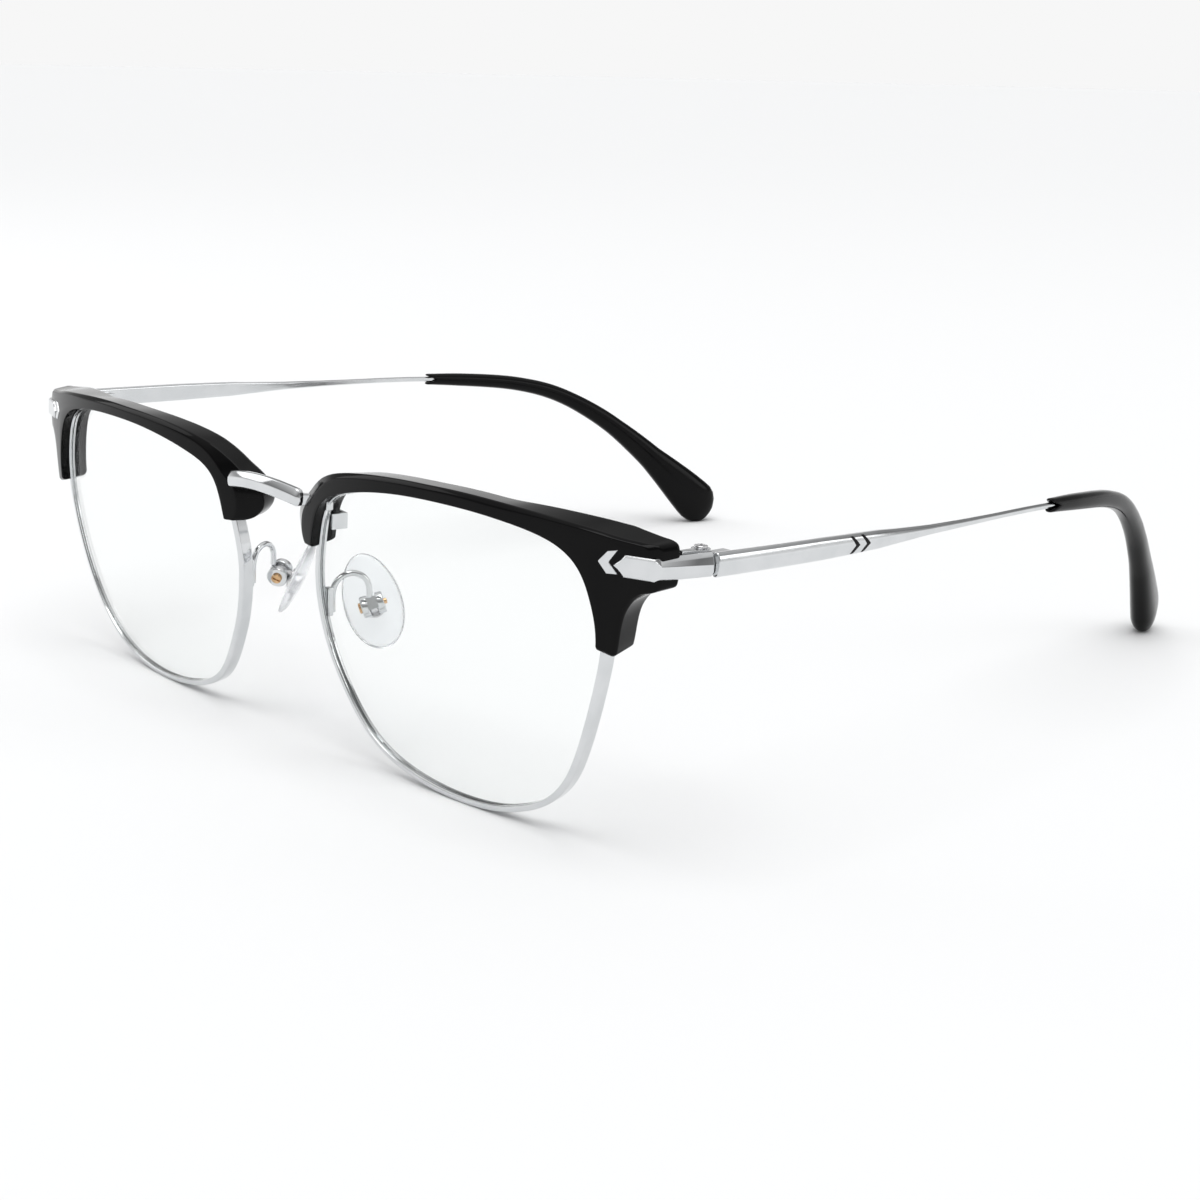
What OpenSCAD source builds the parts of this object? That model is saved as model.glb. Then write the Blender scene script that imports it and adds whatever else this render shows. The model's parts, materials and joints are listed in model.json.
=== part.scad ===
// Browline eyeglasses: thin metal rims under black acetate brows, with folding wire temples.
// Every piece is drawn as it is worn: X to the wearer's left, Y backwards, Z up, temples level.
// stand() then lays the frame on a table, on its rim bottoms and its temple tips.
// Pieces are drawn for the wearer's left (+X) side; on_side(-1) mirrors them to the right.

/* [Front] */
// Distance from the nose line to the middle of each lens
eye_x = 35.2; // [34:0.1:36]
// Height of the lens middle below the temples
eye_drop = 17.2; // [16.8:0.1:17.6]
// How far the lens middle stands in front of the frame's datum
eye_front = 1.65; // [1.4:0.05:1.9]
// Face-form angle of each lens
wrap_angle = 3.6; // [2:0.1:5]
// Pantoscopic angle: the lens bottoms are tucked in towards the cheeks
panto_angle = 8.5; // [7:0.1:10]
// Base-curve radius of the lenses and the rims
base_r = 110; // [100:1:125]

/* [Rim and lens] */
// Radial thickness of the rim wire
rim_t = 0.9; // [0.8:0.05:1.2]
// Depth of the rim wire, front to back
rim_d = 1.8; // [1.6:0.05:2.2]
// Depth of the lens groove inside the rim
groove_d = 0.4; // [0.2:0.05:0.5]
// Width of the lens groove
groove_w = 0.7; // [0.5:0.05:0.9]
// Thickness of the lens
lens_t = 1.3; // [1:0.05:1.6]
// Clearance round small fitted pieces
fit_gap = 0.03; // [0.02:0.01:0.06]

/* [Brow] */
// Thickness of the brow in front of the rim
brow_front = 1.4; // [1:0.05:1.6]
// Thickness of the brow behind the rim, at its middle
brow_back = 0.8; // [0.6:0.05:1.2]
// How far the brow covers the front of the rim
brow_cover = 0.6; // [0.4:0.05:0.8]

/* [Bridge] */
// Half of the span between the two brows
bridge_half = 8.4; // [8:0.1:8.8]
// Height of the bridge bar
bridge_h = 2.4; // [2:0.1:2.8]
// Thickness of the bridge bar
bridge_t = 1.5; // [1.2:0.1:1.8]
// Rise of the bridge bar at its middle
bridge_rise = 0.9; // [0.5:0.1:1.2]

/* [Endpiece and hinge] */
// Thickness of the metal endpiece
endpiece_t = 1.25; // [1:0.05:1.4]
// Radius of the hinge knuckles
knuckle_r = 1.2; // [1.1:0.05:1.25]
// Radius of the hinge screw
hinge_screw_r = 0.5; // [0.4:0.05:0.55]
// Running clearance of the hinge, all round
hinge_gap = 0.05; // [0.03:0.01:0.08]

/* [Temple] */
// Length of the frame along Y at which the acetate tip starts
tip_start = 84.6; // [82:0.2:88]
// Radius of the wire inside and in front of the tip
wire_r = 0.45; // [0.35:0.05:0.55]

/* [Nose pad] */
// Length of the oval pad
pad_l = 14; // [12:0.5:15]
// Width of the oval pad
pad_w = 8.4; // [7:0.2:9]
// Thickness of the pad
pad_t = 2; // [1.6:0.1:2.4]
// Radius of the pad screw
pad_screw_r = 0.4; // [0.3:0.05:0.5]

/* [Hidden] */
$fn = 48;

// The frame on the table: tilt about X, then the middle of its footprint over the origin
rest_tilt = 2.81;
rest_shift = [0, -71.65, 38.322];

// Rim outline round the lens middle, [outwards from the nose, up], joined by a smooth curve
rim_points = [
    [26.5, 3], [26, 12.6], [21.4, 18.5], [10.5, 20.9], [-4, 21.1], [-16, 19.2], [-22.9, 16],
    [-25.6, 9], [-26.3, 1], [-23.3, -8.6], [-16.1, -17.8], [-4, -21.3], [10, -20.4], [20.2, -13.7]
];
curve_steps = 6;
outer_line = smooth_loop(rim_points, curve_steps);
inner_line = inset(outer_line, rim_t);

// Brow outline on the front of the rim, in the same coordinates
brow_points = [
    [26.8, 5.4], [27.6, 5.1], [29.1, 5.5], [29.4, 7.4], [29.6, 10.2], [30.1, 11.8], [31.2, 13],
    [33, 13.9], [35.5, 14.1], [35.5, 19.3], [33, 19.6], [26.4, 20.6], [15.8, 21.8], [7.8, 22.5],
    [0.8, 22.5], [-5.2, 22.3], [-10.2, 21.9], [-15.2, 21.2], [-19.8, 20.3], [-22.7, 19.3],
    [-25, 17.9], [-26.9, 16.4], [-29, 14.9], [-30.4, 13.6], [-30.9, 12.3], [-30.6, 11],
    [-29.4, 9.9], [-27.4, 9.3], [-25.4, 9.2], [-20, 10], [0, 12], [24, 6.5]
];
// Radius of the brow's rear surface, and the plane that trims it in front of the hinge
brow_back_r = 87;
brow_rear_y = 6.8;
// Slanting cut that shapes the brow's outer end, in plan
leg_cut_angle = 18;
leg_cut = [68.3, 2.4];
// Where the brow's metal tab sits, at its nasal end
tab_place = [-25.2, 12.6];

// Chevron inlay, pointing to the nose, in rim coordinates
chevron_points = [
    [26.4, 17.15], [27.6, 18.5], [28.9, 18.7], [27.8, 17.15], [29, 15.8], [27.6, 15.75]
];
inlay_depth = 0.6;
inlay_proud = 0.1;

// Where the closed rim is split, and its two lock blocks
lock_w = 12.2;
lock_gap = 0.3;
lock_h = 2.4;
lock_out = 2.9;
lock_bore = [1.6, 0.9];
lock_screw_r = 0.4;
lock_head_r = 0.5;

// Plan of the lug that joins the bridge to the rim
bridge_foot_plan = [
    [6.9, -3], [8.3, -2.7], [8.8, -1.9], [12.9, -2.2], [12.9, -0.7], [8.2, -0.7], [6.9, -2]
];

// Endpiece in plan: outer corner points and the top and bottom edges seen from the side
plaque_tip = [63.75, 1.05];
plaque_corner = [68.7, 2.85];
endpiece_end = [71.45, 10.2];
endpiece_profile = [
    [0, -1.4], [0, 1.45], [3, 1.5], [10.2, 2.05], [11, 2.05], [11, -1], [10.2, -1], [3, -1.35]
];
plaque_slope = 1.05;

// Hinge axis, the heights of its knuckles (lowest first) and the length of each leaf
hinge_at = [68.8, 10.5];
knuckle_z = [[-1, -0.03], [0.02, 1.03], [1.08, 2.1]];
front_reach = 3.4;
rear_reach = 4.6;
leaf_half = 0.5;
screw_head_r = 0.85;
screw_head_h = 0.35;

// Middle line of the temple: straight bar, wire, then the drop behind the ear
temple_line = [
    [71.5, 10.35, 0.52], [72.15, 25, 0.46], [72.25, 41, 0.42], [71.6, 60, 0.42],
    [70.4, 80, 0.35], [68.8, 95, -0.3], [66.8, 106, -1.4], [64.6, 115, -3.7],
    [61.7, 124.2, -8.3], [58.9, 132.4, -14.2], [56, 140.4, -21.3], [52.7, 149.3, -30.3]
];
// Half height and half thickness of the metal against Y
bar_height = [
    [10, 1.5], [30, 1.42], [38, 1.28], [41, 1.22], [45, 1], [52, 0.7], [60, 0.55],
    [69, wire_r], [150, wire_r]
];
bar_thick = [[10, 0.62], [41, 0.6], [69, wire_r], [150, wire_r]];
// The same for the acetate tip
tip_height = [
    [84, 0.95], [92, 1.2], [108, 1.35], [118, 1.55], [128, 1.9], [136, 2.5], [143, 3.6], [150, 4.3]
];
tip_thick = [[84, 0.85], [92, 1.25], [108, 1.4], [122, 1.5], [134, 1.7], [143, 2.1], [150, 2.4]];
tip_end_r = 5.4;
engraving_y = [36.2, 38.4];
engraving_depth = 0.15;

// Nose pad: its middle, the way it is turned, and its screw axis behind the pad
pad_at = [9.1, 9.45, -17];
pad_turn = [-25, -19, 54];
pad_axis = [0, -2.4, -1];
pad_barrel_r = 1.55;
pad_barrel_l = 3.2;
pad_slot = 1.1;
// Metal plate half sunk in the back of the pad, from its rear face to its front face
plate_y = [-0.78, -0.25];
plate_size = [3, 3.2];
arm_r = 0.42;
arm_line = [
    [9.75, 2.1, -17.4], [9.7, 2.1, -14.6], [9.9, 2.8, -12.9], [10.4, 4.4, -12.1],
    [11, 5.9, -12.5], [11.4, 6.8, -13.7], [11.55, 6.95, -15.6]
];

metal = [0.8, 0.81, 0.83];
acetate = [0.06, 0.06, 0.07];

// Catmull-Rom point between p[1] and p[2]
function blend_point(p, t) = 0.5 * (2 * p[1] + (p[2] - p[0]) * t
    + (2 * p[0] - 5 * p[1] + 4 * p[2] - p[3]) * t * t
    + (3 * p[1] - p[0] - 3 * p[2] + p[3]) * t * t * t);
function smooth_loop(p, steps) = let (n = len(p)) [
    for (i = [0:n - 1], j = [0:steps - 1])
        blend_point([for (k = [-1:2]) p[(i + k + n) % n]], j / steps)
];
function smooth_path(p, steps) = let (n = len(p)) [
    for (i = [0:n - 2], j = [0:steps - 1])
        blend_point([for (k = [-1:2]) p[min(max(i + k, 0), n - 1)]], j / steps),
    p[n - 1]
];
// A counter-clockwise loop moved inwards by d
function inset(p, d) = let (n = len(p)) [
    for (i = [0:n - 1])
        let (t = p[(i + 1) % n] - p[(i + n - 1) % n])
        p[i] + d * [-t.y, t.x] / norm(t)
];
// Depth of the base curve at a place on the rim
function sag(u, w) = base_r - sqrt(base_r * base_r - u * u - w * w);
function path_dir(p, i) = let (d = p[min(i + 1, len(p) - 1)] - p[max(i - 1, 0)]) d / norm(d);

module stand() { translate(rest_shift) rotate([-rest_tilt, 0, 0]) children(); }
module on_side(s) { stand() mirror([s < 0 ? 1 : 0, 0, 0]) children(); }
module at_eye() {
    translate([eye_x, -eye_front, -eye_drop]) rotate([panto_angle, 0, wrap_angle]) children();
}
// A place on the rim's front surface, with Y running back through the metal
module at_rim(u, w) {
    translate([u, sag(u, w), w]) rotate([-asin(w / base_r), 0, asin(u / base_r)]) children();
}
module base_ball(depth) { translate([0, base_r, 0]) sphere(base_r - depth, $fn = 180); }
module through(outline) {
    translate([0, 22, 0]) rotate([90, 0, 0]) linear_extrude(30) polygon(outline);
}
// The outline between two depths behind the rim's front surface
module slab(outline, from, to) {
    difference() {
        intersection() {
            through(outline);
            base_ball(from);
        }
        base_ball(to);
    }
}
// A rounded bar swept along a list of points; size gives [half thickness, half height],
// and the height lies in the plane of the line and the reference direction
module swept_bar(line, size, squareness, upright = [0, 0, 1], sides = 12) {
    n = len(line);
    rings = [
        for (i = [0:n - 1], k = [0:sides - 1])
            let (d = path_dir(line, i), c = cross(d, upright), across = c / norm(c))
            let (up = cross(across, d), a = 360 * (k + 0.5) / sides, s = size[i])
            line[i] + across * s.x * rounded(cos(a), squareness) + up * s.y * rounded(sin(a), squareness)
    ];
    faces = concat(
        [[for (k = [sides - 1:-1:0]) k]],
        [[for (k = [0:sides - 1]) (n - 1) * sides + k]],
        [for (i = [0:n - 2], k = [0:sides - 1]) let (m = (k + 1) % sides)
            [i * sides + m, (i + 1) * sides + m, (i + 1) * sides + k, i * sides + k]]
    );
    polyhedron(rings, faces, convexity = 6);
}
function rounded(c, e) = sign(c) * pow(abs(c), e);

module rim(s) {
    color(metal) on_side(s) at_eye() difference() {
        slab(outer_line, 0, rim_d);
        slab(inner_line, -1, rim_d + 1);
        slab(inset(outer_line, rim_t - groove_d), (rim_d - groove_w) / 2, (rim_d + groove_w) / 2);
        translate([20, -5, lock_w - lock_gap / 2]) cube([12, 20, lock_gap]);
    }
}

module lens(s) {
    bevel_w = groove_w - 2 * fit_gap;
    color([0.85, 0.9, 0.92, 0.35]) on_side(s) at_eye() {
        slab(inset(outer_line, rim_t + fit_gap), (rim_d - lens_t) / 2, (rim_d + lens_t) / 2);
        slab(inset(outer_line, rim_t - groove_d + fit_gap), (rim_d - bevel_w) / 2, (rim_d + bevel_w) / 2);
    }
}

// Lock blocks stand on the outside of the rim, above (+1) and below (-1) the split
module lock_block(level) {
    from = level > 0 ? lock_gap / 2 : -lock_gap / 2 - lock_h;
    at_rim(25.9, lock_w) translate([-0.4, 0.05, from]) cube([lock_out, rim_d - 0.1, lock_h]);
}
module rim_lock(s, level) {
    bore_r = level > 0 ? lock_screw_r : lock_screw_r + hinge_gap;
    color(metal) on_side(s) at_eye() difference() {
        lock_block(level);
        slab(outer_line, -2, rim_d + 2);
        at_rim(25.9, lock_w) translate([lock_bore.x, lock_bore.y, -4]) cylinder(8, bore_r, bore_r);
    }
}
module rim_lock_screw(s) {
    color(metal) on_side(s) at_eye() at_rim(25.9, lock_w) translate([lock_bore.x, lock_bore.y, 0]) {
        translate([0, 0, -lock_h - 0.15]) cylinder(2 * lock_h, lock_screw_r, lock_screw_r);
        translate([0, 0, -lock_h - 0.65]) cylinder(0.5, lock_head_r, lock_head_r);
    }
}

// Plan of the endpiece grown by g on every side
module endpiece_plan(g) {
    front = (plaque_corner - plaque_tip) / norm(plaque_corner - plaque_tip);
    side = (endpiece_end - plaque_corner) / norm(endpiece_end - plaque_corner);
    front_out = [front.y, -front.x];
    side_out = [side.y, -side.x];
    bend = (front_out + side_out) / (1 + front_out * side_out);
    polygon([
        plaque_tip + g * (front_out - front),
        plaque_corner + g * bend,
        endpiece_end + g * (side_out + side),
        endpiece_end + [-endpiece_t / side.y - g, 0] + g * side,
        plaque_corner - (endpiece_t + g) * bend,
        plaque_tip - (endpiece_t + g) * front_out - g * front
    ]);
}
module endpiece_body(g) {
    middle = 0.05;
    intersection() {
        translate([0, 0, -3]) linear_extrude(6) endpiece_plan(g);
        translate([50, 0, 0]) rotate([90, 0, 90]) linear_extrude(40)
            polygon([for (p = endpiece_profile) [p.x, p.y + (p.y > 0 ? g : -g)]]);
        translate([0, 30, 0]) rotate([90, 0, 0]) linear_extrude(60) polygon([
            [plaque_tip.x - g, middle], [plaque_tip.x - g + 3 / plaque_slope, middle + 3],
            [90, middle + 3], [90, middle - 3], [plaque_tip.x - g + 3 / plaque_slope, middle - 3]
        ]);
    }
}
module endpiece(s) { color(metal) on_side(s) endpiece_body(0); }

module bridge_bar(g) {
    steps = 16;
    xs = [for (i = [0:steps]) -bridge_half - g + (2 * bridge_half + 2 * g) * i / steps];
    function bow(x) = pow(x / bridge_half, 2);
    intersection() {
        translate([0, 0, -6]) linear_extrude(12) polygon(concat(
            [for (x = xs) [x, -4.65 - g + 0.9 * bow(x)]],
            [for (i = [steps:-1:0]) [xs[i], -4.65 + bridge_t + g + 0.9 * bow(xs[i])]]
        ));
        translate([0, 5, 0]) rotate([90, 0, 0]) linear_extrude(15) polygon(concat(
            [for (x = xs) [x, -0.5 - bridge_h / 2 - g - bridge_rise * bow(x)]],
            [for (i = [steps:-1:0]) [xs[i], -0.5 + bridge_h / 2 + g - bridge_rise * bow(xs[i])]]
        ));
    }
}
// Lug that runs back from the bridge, through the brow's nasal side, and is brazed to the rim
module bridge_foot(g) {
    difference() {
        translate([0, 0, -2.3 - g]) linear_extrude(1.5 + 2 * g) offset(delta = g) polygon(bridge_foot_plan);
        at_eye() slab(outer_line, -3, rim_d + 2);
    }
}
module bridge() {
    color(metal) stand() {
        bridge_bar(0);
        for (m = [0, 1]) mirror([m, 0, 0]) bridge_foot(0);
    }
}

module chevron_inlay(s) {
    color(metal) on_side(s) at_eye()
        slab(chevron_points, -brow_front - inlay_proud, inlay_depth - brow_front);
}

// Small tab behind the nasal end of the brow, with its screw
module tab_plate() {
    at_rim(tab_place.x, tab_place.y) {
        translate([-1.6, rim_d + 1.9, -1.1]) cube([3.25, 0.4, 2.2]);
        translate([1.25, rim_d - 0.05, -1.1]) cube([0.4, 2.1, 2.2]);
    }
}
module tab_screw_axis() {
    at_rim(tab_place.x, tab_place.y) translate([-0.7, 0, 0]) rotate([-90, 0, 0]) children();
}
module brow_tab(s) {
    color(metal) on_side(s) at_eye() difference() {
        tab_plate();
        tab_screw_axis() cylinder(8, lock_screw_r, lock_screw_r);
        slab(outer_line, -1, rim_d);
    }
}
module brow_screw(s) {
    color(metal) on_side(s) at_eye() tab_screw_axis() {
        translate([0, 0, rim_d + 0.5]) cylinder(1.9, lock_screw_r, lock_screw_r);
        translate([0, 0, rim_d + 2.3]) cylinder(0.3, 0.7, 0.7);
    }
}

module brow(s) {
    color(acetate) on_side(s) difference() {
        at_eye() difference() {
            intersection() {
                through(brow_points);
                base_ball(-brow_front);
            }
            translate([0, rim_d + brow_back + brow_back_r, 0]) sphere(brow_back_r, $fn = 180);
            slab(inset(outer_line, brow_cover), -10, 20);
            slab(inset(outer_line, -fit_gap), -fit_gap, rim_d + fit_gap);
            for (level = [-1, 1]) lock_pocket(level);
            slab(chevron_points, -brow_front - 1, inlay_depth - brow_front);
            tab_screw_axis() translate([0, 0, rim_d]) cylinder(6, lock_screw_r, lock_screw_r);
        }
        translate([leg_cut.x, leg_cut.y, -10]) rotate([0, 0, -leg_cut_angle])
            translate([0, -15, 0]) cube([10, 40, 20]);
        translate([0, brow_rear_y, -40]) cube([90, 20, 60]);
        endpiece_body(fit_gap);
        bridge_bar(fit_gap);
        bridge_foot(fit_gap);
    }
}
// Room in the brow for one lock block and the screw
module lock_pocket(level) {
    from = level > 0 ? 0 : -lock_gap / 2 - lock_h - 0.7;
    to = level > 0 ? lock_gap / 2 + lock_h : 0;
    at_rim(25.9, lock_w) translate([-1.5, -fit_gap, from - fit_gap])
        cube([lock_out + 1.1 + fit_gap, rim_d + 2 * fit_gap, to - from + 2 * fit_gap]);
}

module hinge_leaf(levels, bores, back) {
    reach = back ? rear_reach : front_reach;
    y_from = back ? 0 : -reach;
    y_plate = back ? knuckle_r + 0.15 : -reach;
    z_low = knuckle_z[0][0];
    reach_out = back ? 2.6 : 2;
    translate(hinge_at) difference() {
        union() {
            for (k = levels) translate([0, 0, knuckle_z[k][0]]) {
                cylinder(knuckle_z[k][1] - knuckle_z[k][0], knuckle_r, knuckle_r);
                translate([-leaf_half, y_from, 0])
                    cube([leaf_half + reach_out, reach, knuckle_z[k][1] - knuckle_z[k][0]]);
            }
            translate([-leaf_half, y_plate, z_low])
                cube([leaf_half + reach_out, reach - knuckle_r - 0.15, knuckle_z[2][1] - z_low]);
        }
        for (k = levels) translate([0, 0, knuckle_z[k][0] - 1]) cylinder(3.2, bores[k], bores[k]);
    }
}
module hinge_front(s) {
    clear_r = hinge_screw_r + hinge_gap;
    color(metal) on_side(s) difference() {
        hinge_leaf([0, 2], [hinge_screw_r, clear_r, hinge_screw_r], false);
        beyond_inner_face(0);
    }
}
module hinge_rear(s) {
    clear_r = hinge_screw_r + hinge_gap;
    color(metal) on_side(s) hinge_leaf([1], [clear_r, clear_r, clear_r], true);
}
// Everything outside the endpiece's inner face
module beyond_inner_face(g) {
    side = endpiece_end - plaque_corner;
    translate([endpiece_end.x, endpiece_end.y, -5]) rotate([0, 0, -atan(side.x / side.y)])
        translate([-endpiece_t - g, -20, 0]) cube([10, 40, 10]);
}
module hinge_screw(s) {
    color(metal) on_side(s) translate(hinge_at) {
        translate([0, 0, knuckle_z[0][0]])
            cylinder(knuckle_z[2][1] - knuckle_z[0][0], hinge_screw_r, hinge_screw_r);
        translate([0, 0, knuckle_z[2][1]]) cylinder(screw_head_h, screw_head_r, screw_head_r);
    }
}

temple_path = smooth_path(temple_line, 5);
core_path = [for (p = temple_path) if (p.y < 141) p];
tip_path = concat(
    [let (p = path_at_y(tip_start)) p],
    [for (p = temple_path) if (p.y > tip_start + 0.5) p]
);
function path_at_y(y) = [
    lookup(y, [for (p = temple_path) [p.y, p.x]]), y, lookup(y, [for (p = temple_path) [p.y, p.z]])
];
// The tip closes in a round end over its last few rings
tip_end = temple_path[len(temple_path) - 1];
function tip_close(p) = let (left = norm(tip_end - p) / tip_end_r)
    left > 1 ? 1 : sqrt(max(0.04, 1 - pow(1 - left, 2)));

module engraved_chevron(y) {
    w = 0.55;
    reach = 1.35;
    z = 0.42;
    translate([72.4, 0, 0]) rotate([90, 0, 90]) linear_extrude(3) polygon([
        [y, z], [y - reach, z + reach], [y - reach - w, z + reach], [y - w, z],
        [y - reach - w, z - reach], [y - reach, z - reach]
    ]);
}
module temple(s) {
    color(metal) on_side(s) difference() {
        swept_bar(core_path, [for (p = core_path) [lookup(p.y, bar_thick), lookup(p.y, bar_height)]], 0.45);
        difference() {
            for (y = engraving_y) engraved_chevron(y);
            translate([60, 0, -5]) cube([72.86 - engraving_depth - 60, 60, 10]);
        }
    }
}
module temple_tip(s) {
    color(acetate) on_side(s) difference() {
        swept_bar(
            tip_path,
            [for (p = tip_path) [lookup(p.y, tip_thick), lookup(p.y, tip_height)] * tip_close(p)],
            0.85
        );
        // fish-mouth front end
        translate([65, tip_start - 1.2, 0.2]) rotate([0, 90, 0]) rotate([0, 0, 45])
            translate([-1, -1, 0]) cube([2, 2, 10]);
    }
}

module at_pad() { translate(pad_at) rotate(pad_turn) children(); }
module along_pad_axis() { at_pad() translate(pad_axis) rotate([0, 90, 0]) children(); }
module pad_arm(s) {
    path = smooth_path(arm_line, 3);
    color(metal) on_side(s) difference() {
        union() {
            swept_bar(path, [for (p = path) [arm_r, arm_r]], 1, [1, 0, 0]);
            translate([9.1, 1, -17.9]) cube([1.2, 1, 4.1]);
            along_pad_axis() translate([0, 0, -pad_barrel_l / 2])
                cylinder(pad_barrel_l, pad_barrel_r, pad_barrel_r);
        }
        at_eye() slab(outer_line, -3, rim_d);
        at_pad() translate(pad_axis - [pad_slot / 2, 1.15, 2]) cube([pad_slot, 5, 4]);
        along_pad_axis() translate([0, 0, -4]) cylinder(8, pad_screw_r, pad_screw_r);
    }
}
module pad_screw(s) {
    color([0.75, 0.55, 0.3]) on_side(s) along_pad_axis() {
        translate([0, 0, -pad_barrel_l / 2]) cylinder(pad_barrel_l + 0.4, pad_screw_r, pad_screw_r);
        translate([0, 0, -pad_barrel_l / 2 - 0.4]) cylinder(0.4, 0.75, 0.75);
    }
}
// Metal plate in the back of the pad; g is the room round it
module insert_plate(g) {
    translate([-plate_size.x / 2 - g, plate_y[0] - g, pad_axis.z - plate_size.y / 2 - g])
        cube([plate_size.x + 2 * g, plate_y[1] - plate_y[0] + g, plate_size.y + 2 * g]);
}
module pad_insert(s) {
    lug_t = pad_slot - 0.1;
    lug_r = 1.1;
    color(metal) on_side(s) difference() {
        union() {
            along_pad_axis() translate([0, 0, -lug_t / 2]) cylinder(lug_t, lug_r, lug_r);
            at_pad() translate(pad_axis + [-lug_t / 2, 0, -0.9]) cube([lug_t, 1.8, 1.8]);
            at_pad() insert_plate(0);
        }
        along_pad_axis() translate([0, 0, -2]) cylinder(4, pad_screw_r + hinge_gap, pad_screw_r + hinge_gap);
    }
}
module nose_pad(s) {
    dome_r = 14;
    color([0.9, 0.92, 0.93, 0.5]) on_side(s) at_pad() difference() {
        intersection() {
            translate([0, -0.6, 0]) rotate([-90, 0, 0]) linear_extrude(pad_t + 1) polygon([
                for (a = [0:7.5:359]) [pad_w / 2 * cos(a), pad_l / 2 * sin(a)]
            ]);
            translate([0, pad_t - 0.6 - dome_r, 0]) sphere(dome_r, $fn = 96);
        }
        insert_plate(fit_gap);
    }
}

bridge();
rim(1);  // rim_left
rim(-1);  // rim_right
lens(1);  // lens_left
lens(-1);  // lens_right
rim_lock(1, 1);  // rim_lock_upper_left
rim_lock(-1, 1);  // rim_lock_upper_right
rim_lock(1, -1);  // rim_lock_lower_left
rim_lock(-1, -1);  // rim_lock_lower_right
rim_lock_screw(1);  // rim_lock_screw_left
rim_lock_screw(-1);  // rim_lock_screw_right
brow(1);  // brow_left
brow(-1);  // brow_right
brow_tab(1);  // brow_tab_left
brow_tab(-1);  // brow_tab_right
brow_screw(1);  // brow_screw_left
brow_screw(-1);  // brow_screw_right
chevron_inlay(1);  // chevron_inlay_left
chevron_inlay(-1);  // chevron_inlay_right
endpiece(1);  // endpiece_left
endpiece(-1);  // endpiece_right
hinge_front(1);  // hinge_front_left
hinge_front(-1);  // hinge_front_right
hinge_rear(1);  // hinge_rear_left
hinge_rear(-1);  // hinge_rear_right
hinge_screw(1);  // hinge_screw_left
hinge_screw(-1);  // hinge_screw_right
temple(1);  // temple_left
temple(-1);  // temple_right
temple_tip(1);  // temple_tip_left
temple_tip(-1);  // temple_tip_right
pad_arm(1);  // pad_arm_left
pad_arm(-1);  // pad_arm_right
pad_screw(1);  // pad_screw_left
pad_screw(-1);  // pad_screw_right
pad_insert(1);  // pad_insert_left
pad_insert(-1);  // pad_insert_right
nose_pad(1);  // nose_pad_left
nose_pad(-1);  // nose_pad_right
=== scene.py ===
import json
import math

import bmesh
import bpy
from mathutils import Matrix, Vector


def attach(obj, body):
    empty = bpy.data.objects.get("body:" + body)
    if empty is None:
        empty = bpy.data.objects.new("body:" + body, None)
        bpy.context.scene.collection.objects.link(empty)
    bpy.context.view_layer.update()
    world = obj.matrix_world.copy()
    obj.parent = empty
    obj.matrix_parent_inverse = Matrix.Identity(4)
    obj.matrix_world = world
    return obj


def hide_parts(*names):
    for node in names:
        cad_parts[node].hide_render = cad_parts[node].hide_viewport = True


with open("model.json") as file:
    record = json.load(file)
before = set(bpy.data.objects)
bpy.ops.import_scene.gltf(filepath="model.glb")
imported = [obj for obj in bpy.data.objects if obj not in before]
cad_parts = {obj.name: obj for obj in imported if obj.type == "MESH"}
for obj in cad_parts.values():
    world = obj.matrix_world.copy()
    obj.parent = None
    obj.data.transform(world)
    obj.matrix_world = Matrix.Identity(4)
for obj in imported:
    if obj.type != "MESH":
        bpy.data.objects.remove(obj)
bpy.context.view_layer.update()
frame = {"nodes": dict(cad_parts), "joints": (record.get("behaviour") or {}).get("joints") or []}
scene = bpy.context.scene
mm = 0.001
print("frame loaded:", len(frame["nodes"]), "nodes")

# The glasses are drawn as worn, in millimetres: X to the wearer's left, Y back, Z up, temples level.
# The hinge joint says how that stands on the table.
foldJoint = next(j for j in frame["joints"] if j["name"] == "temple_left_fold")
hingeCentre = Vector((68.8, 10.5, 0.55))
restTilt = math.asin(foldJoint["axis"][1])
standFrame = (
    Matrix.Translation(Vector(foldJoint["pos_m"]))
    @ Matrix.Rotation(-restTilt, 4, "X")
    @ Matrix.Scale(mm, 4)
    @ Matrix.Translation(-hingeCentre)
)
# Middle of the left lens: u outwards, v back, w up
eyeFrame = (
    Matrix.Translation((35.2, -1.65, -17.2))
    @ Matrix.Rotation(math.radians(3.6), 4, "Z")
    @ Matrix.Rotation(math.radians(8.5), 4, "X")
)
sides = {"left": 1, "right": -1}


def sideFrame(side):  # everything is drawn for the left and mirrored to the right
    return standFrame @ Matrix.Scale(sides[side], 4, (1, 0, 0))


# Shape helpers


def blendPoint(p, t):  # a smooth curve through p[1] and p[2]
    return 0.5 * (
        2 * p[1]
        + (p[2] - p[0]) * t
        + (2 * p[0] - 5 * p[1] + 4 * p[2] - p[3]) * t * t
        + (3 * p[1] - p[0] - 3 * p[2] + p[3]) * t**3
    )


def loopPoint(points, t):
    n, k = len(points), math.floor(t)
    return blendPoint([Vector(points[(k + i) % n]) for i in (-1, 0, 1, 2)], t - k)


def pathPoint(points, t):
    n, k = len(points), min(math.floor(t), len(points) - 2)
    return blendPoint([Vector(points[min(max(k + i, 0), n - 1)]) for i in (-1, 0, 1, 2)], t - k)


def ramp(x, table):  # straight-line lookup in a list of (x, value)
    if x <= table[0][0]:
        return table[0][1]
    for (x0, y0), (x1, y1) in zip(table, table[1:]):
        if x <= x1:
            return y0 + (y1 - y0) * (x - x0) / (x1 - x0)
    return table[-1][1]


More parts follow.
